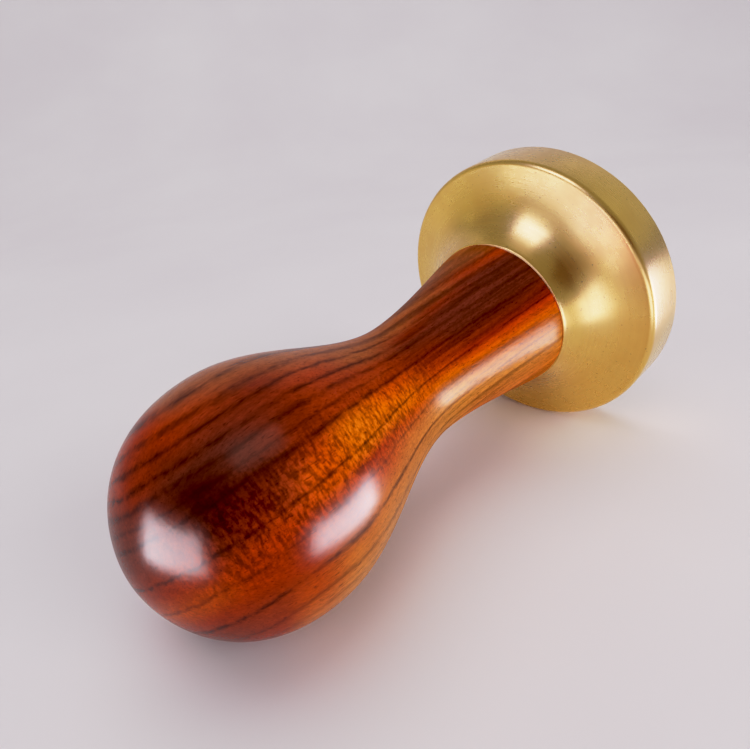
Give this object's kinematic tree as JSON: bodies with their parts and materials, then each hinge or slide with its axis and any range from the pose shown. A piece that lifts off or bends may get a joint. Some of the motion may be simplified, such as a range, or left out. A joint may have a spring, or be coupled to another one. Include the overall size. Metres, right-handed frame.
{
  "type": "espresso tamper",
  "caption": "Espresso tamper: a flat-faced turned brass head with a coved shoulder, screwed to a pear-shaped lacquered wooden handle.",
  "frame": {"origin": "centre of the flat tamping face, on the tamper's axis", "axes": "+Z runs from the tamping face up through the head to the top of the handle; the tamper stands upright on its face"},
  "size_m": [0.058, 0.058, 0.1003],
  "materials": {
    "head_brass": "satin, fine turned lines",
    "handle_wood": "glossy lacquer over red-brown hardwood with dark grain",
    "stud_steel": "bright rolled thread",
    "insert_brass": "as machined"
  },
  "bodies": {
    "head": {"head": "head_brass"},
    "stud": {"stud": "stud_steel"},
    "handle": {"handle": "handle_wood", "threaded_insert": "insert_brass"}
  },
  "joints": [
    {"name": "handle_lift", "type": "slide", "parent": "head", "child": "stud", "axis": [0, 0, 1], "range_m": [0, 0.01]},
    {"name": "handle_unscrew", "type": "hinge", "parent": "stud", "child": "handle", "pos_m": [0, 0, 0.0235], "axis": [0, 0, 1], "range_deg": [0, 2880]}
  ],
  "couplings": [
    {"joint": "handle_lift", "follows": "handle_unscrew", "m_per_rad": 0.00019894}
  ]
}
